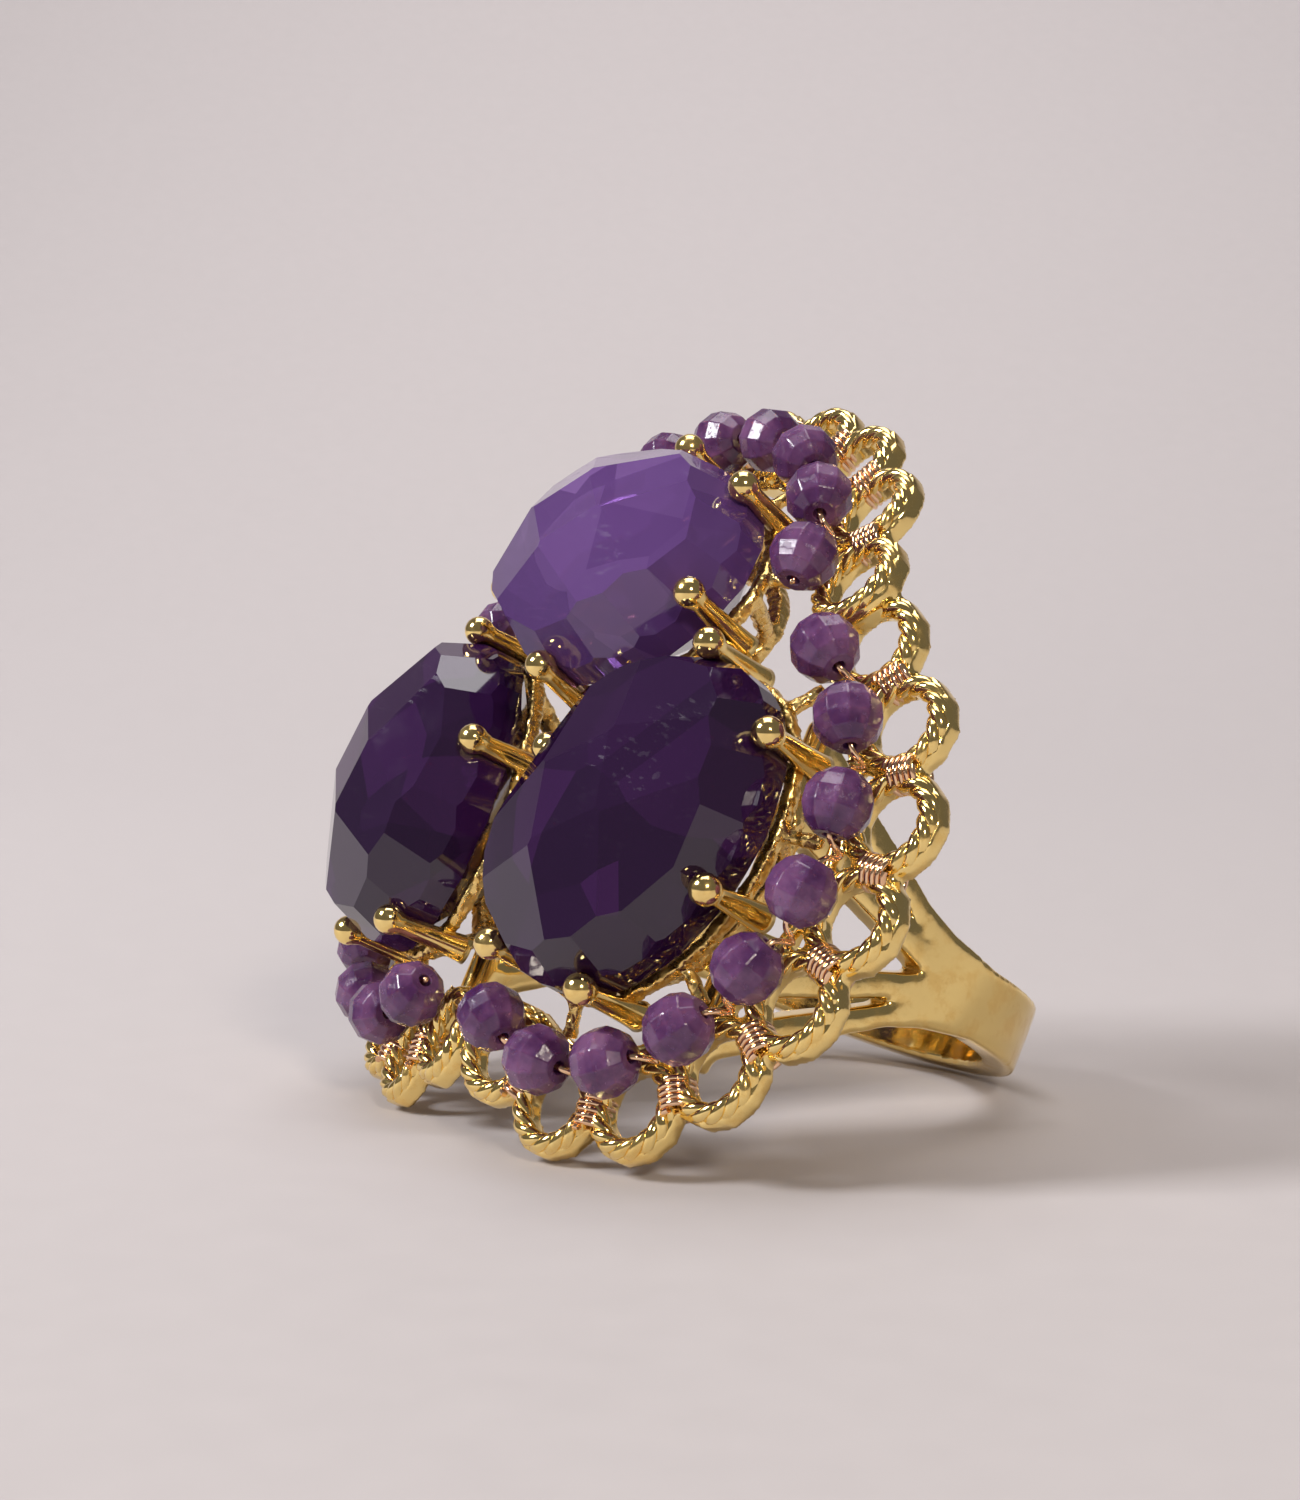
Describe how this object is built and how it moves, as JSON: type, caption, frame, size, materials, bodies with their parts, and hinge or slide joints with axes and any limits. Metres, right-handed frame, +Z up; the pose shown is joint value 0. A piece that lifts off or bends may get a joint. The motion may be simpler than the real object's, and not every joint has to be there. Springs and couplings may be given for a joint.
{
  "type": "cocktail ring",
  "caption": "Finger ring with a large head of three domed oval stones in open pronged baskets, a scalloped rope border carrying small drilled beads on wire, and a split shank.",
  "frame": {"origin": "centre of the bounding box's footprint, on the surface the ring rests on", "axes": "+Z up, +X across the head's width, -Y the way the head faces; the ring leans back on its two lower scallops and the back of its shank"},
  "size_m": [0.0364, 0.028, 0.029],
  "materials": {
    "gold": "polished",
    "gold_wire": "polished",
    "amethyst": "polished",
    "bead_amethyst": "polished"
  },
  "bodies": {
    "root": {"stone_right": "amethyst", "basket_right": "gold", "prong_right_1": "gold", "prong_right_2": "gold", "prong_right_3": "gold", "prong_right_4": "gold", "prong_right_5": "gold", "prong_right_6": "gold", "bead_wire_right": "gold_wire", "stone_left": "amethyst", "basket_left": "gold", "prong_left_1": "gold", "prong_left_2": "gold", "prong_left_3": "gold", "prong_left_4": "gold", "prong_left_5": "gold", "prong_left_6": "gold", "bead_wire_left": "gold_wire", "stone_top": "amethyst", "basket_top": "gold", "prong_top_1": "gold", "prong_top_2": "gold", "prong_top_3": "gold", "prong_top_4": "gold", "prong_top_5": "gold", "prong_top_6": "gold", "bead_wire_top": "gold_wire", "rope_border": "gold", "split_shank": "gold"},
    "bead_right_1_body": {"bead_right_1": "bead_amethyst"},
    "bead_right_2_body": {"bead_right_2": "bead_amethyst"},
    "bead_right_3_body": {"bead_right_3": "bead_amethyst"},
    "bead_right_4_body": {"bead_right_4": "bead_amethyst"},
    "bead_right_5_body": {"bead_right_5": "bead_amethyst"},
    "bead_right_6_body": {"bead_right_6": "bead_amethyst"},
    "bead_right_7_body": {"bead_right_7": "bead_amethyst"},
    "bead_right_8_body": {"bead_right_8": "bead_amethyst"},
    "bead_right_9_body": {"bead_right_9": "bead_amethyst"},
    "bead_left_1_body": {"bead_left_1": "bead_amethyst"},
    "bead_left_2_body": {"bead_left_2": "bead_amethyst"},
    "bead_left_3_body": {"bead_left_3": "bead_amethyst"},
    "bead_left_4_body": {"bead_left_4": "bead_amethyst"},
    "bead_left_5_body": {"bead_left_5": "bead_amethyst"},
    "bead_left_6_body": {"bead_left_6": "bead_amethyst"},
    "bead_left_7_body": {"bead_left_7": "bead_amethyst"},
    "bead_left_8_body": {"bead_left_8": "bead_amethyst"},
    "bead_left_9_body": {"bead_left_9": "bead_amethyst"},
    "bead_top_1_body": {"bead_top_1": "bead_amethyst"},
    "bead_top_2_body": {"bead_top_2": "bead_amethyst"},
    "bead_top_3_body": {"bead_top_3": "bead_amethyst"},
    "bead_top_4_body": {"bead_top_4": "bead_amethyst"},
    "bead_top_5_body": {"bead_top_5": "bead_amethyst"},
    "bead_top_6_body": {"bead_top_6": "bead_amethyst"},
    "bead_top_7_body": {"bead_top_7": "bead_amethyst"},
    "bead_top_8_body": {"bead_top_8": "bead_amethyst"}
  },
  "joints": [
    {"name": "bead_right_1_spin", "type": "hinge", "parent": "root", "child": "bead_right_1_body", "pos_m": [0.01204, -0.00332, 0.01948], "axis": [0.8241, -0.0668, -0.5625], "continuous": true},
    {"name": "bead_right_2_spin", "type": "hinge", "parent": "root", "child": "bead_right_2_body", "pos_m": [0.01432, -0.00395, 0.01704], "axis": [0.487, -0.2844, -0.8258], "continuous": true},
    {"name": "bead_right_3_spin", "type": "hinge", "parent": "root", "child": "bead_right_3_body", "pos_m": [0.01538, -0.00517, 0.01402], "axis": [0.1356, -0.4122, -0.901], "continuous": true},
    {"name": "bead_right_4_spin", "type": "hinge", "parent": "root", "child": "bead_right_4_body", "pos_m": [0.0153, -0.00671, 0.01096], "axis": [-0.1719, -0.4731, -0.8641], "continuous": true},
    {"name": "bead_right_5_spin", "type": "hinge", "parent": "root", "child": "bead_right_5_body", "pos_m": [0.01426, -0.00835, 0.0082], "axis": [-0.4375, -0.4877, -0.7555], "continuous": true},
    {"name": "bead_right_6_spin", "type": "hinge", "parent": "root", "child": "bead_right_6_body", "pos_m": [0.01231, -0.01001, 0.00587], "axis": [-0.6836, -0.4581, -0.5681], "continuous": true},
    {"name": "bead_right_7_spin", "type": "hinge", "parent": "root", "child": "bead_right_7_body", "pos_m": [0.00961, -0.01144, 0.00439], "axis": [-0.8867, -0.3677, -0.2804], "continuous": true},
    {"name": "bead_right_8_spin", "type": "hinge", "parent": "root", "child": "bead_right_8_body", "pos_m": [0.00638, -0.01241, 0.0041], "axis": [-0.9737, -0.1855, 0.1319], "continuous": true},
    {"name": "bead_right_9_spin", "type": "hinge", "parent": "root", "child": "bead_right_9_body", "pos_m": [0.00326, -0.01262, 0.0053], "axis": [-0.8241, 0.0668, 0.5625], "continuous": true},
    {"name": "bead_left_1_spin", "type": "hinge", "parent": "root", "child": "bead_left_1_body", "pos_m": [-0.00326, -0.01262, 0.0053], "axis": [-0.8241, -0.0668, -0.5625], "continuous": true},
    {"name": "bead_left_2_spin", "type": "hinge", "parent": "root", "child": "bead_left_2_body", "pos_m": [-0.00644, -0.0124, 0.00409], "axis": [-0.974, 0.1897, -0.1236], "continuous": true},
    {"name": "bead_left_3_spin", "type": "hinge", "parent": "root", "child": "bead_left_3_body", "pos_m": [-0.00967, -0.01141, 0.0044], "axis": [-0.8834, 0.3702, 0.2873], "continuous": true},
    {"name": "bead_left_4_spin", "type": "hinge", "parent": "root", "child": "bead_left_4_body", "pos_m": [-0.01236, -0.00997, 0.00591], "axis": [-0.6788, 0.4593, 0.573], "continuous": true},
    {"name": "bead_left_5_spin", "type": "hinge", "parent": "root", "child": "bead_left_5_body", "pos_m": [-0.0143, -0.00831, 0.00825], "axis": [-0.4319, 0.4878, 0.7586], "continuous": true},
    {"name": "bead_left_6_spin", "type": "hinge", "parent": "root", "child": "bead_left_6_body", "pos_m": [-0.01532, -0.00667, 0.01102], "axis": [-0.1657, 0.4723, 0.8657], "continuous": true},
    {"name": "bead_left_7_spin", "type": "hinge", "parent": "root", "child": "bead_left_7_body", "pos_m": [-0.01537, -0.00514, 0.01409], "axis": [0.1424, 0.4103, 0.9007], "continuous": true},
    {"name": "bead_left_8_spin", "type": "hinge", "parent": "root", "child": "bead_left_8_body", "pos_m": [-0.01429, -0.00393, 0.01709], "axis": [0.494, 0.281, 0.8228], "continuous": true},
    {"name": "bead_left_9_spin", "type": "hinge", "parent": "root", "child": "bead_left_9_body", "pos_m": [-0.01204, -0.00332, 0.01948], "axis": [0.8241, 0.0668, 0.5625], "continuous": true},
    {"name": "bead_top_1_spin", "type": "hinge", "parent": "root", "child": "bead_top_1_body", "pos_m": [-0.00939, -0.00236, 0.02286], "axis": [0.2531, 0.614, 0.7476], "continuous": true},
    {"name": "bead_top_2_spin", "type": "hinge", "parent": "root", "child": "bead_top_2_body", "pos_m": [-0.00771, -0.00044, 0.0252], "axis": [0.6743, 0.4687, 0.5707], "continuous": true},
    {"name": "bead_top_3_spin", "type": "hinge", "parent": "root", "child": "bead_top_3_body", "pos_m": [-0.00497, 0.00084, 0.02677], "axis": [0.8973, 0.2802, 0.3412], "continuous": true},
    {"name": "bead_top_4_spin", "type": "hinge", "parent": "root", "child": "bead_top_4_body", "pos_m": [-0.00169, 0.00148, 0.02754], "axis": [0.9896, 0.0913, 0.1111], "continuous": true},
    {"name": "bead_top_5_spin", "type": "hinge", "parent": "root", "child": "bead_top_5_body", "pos_m": [0.00175, 0.00147, 0.02754], "axis": [0.9888, -0.0948, -0.1154], "continuous": true},
    {"name": "bead_top_6_spin", "type": "hinge", "parent": "root", "child": "bead_top_6_body", "pos_m": [0.00503, 0.00082, 0.02674], "axis": [0.8945, -0.2837, -0.3454], "continuous": true},
    {"name": "bead_top_7_spin", "type": "hinge", "parent": "root", "child": "bead_top_7_body", "pos_m": [0.00775, -0.00047, 0.02517], "axis": [0.669, -0.4717, -0.5744], "continuous": true},
    {"name": "bead_top_8_spin", "type": "hinge", "parent": "root", "child": "bead_top_8_body", "pos_m": [0.00939, -0.00236, 0.02286], "axis": [0.2531, -0.614, -0.7476], "continuous": true}
  ]
}
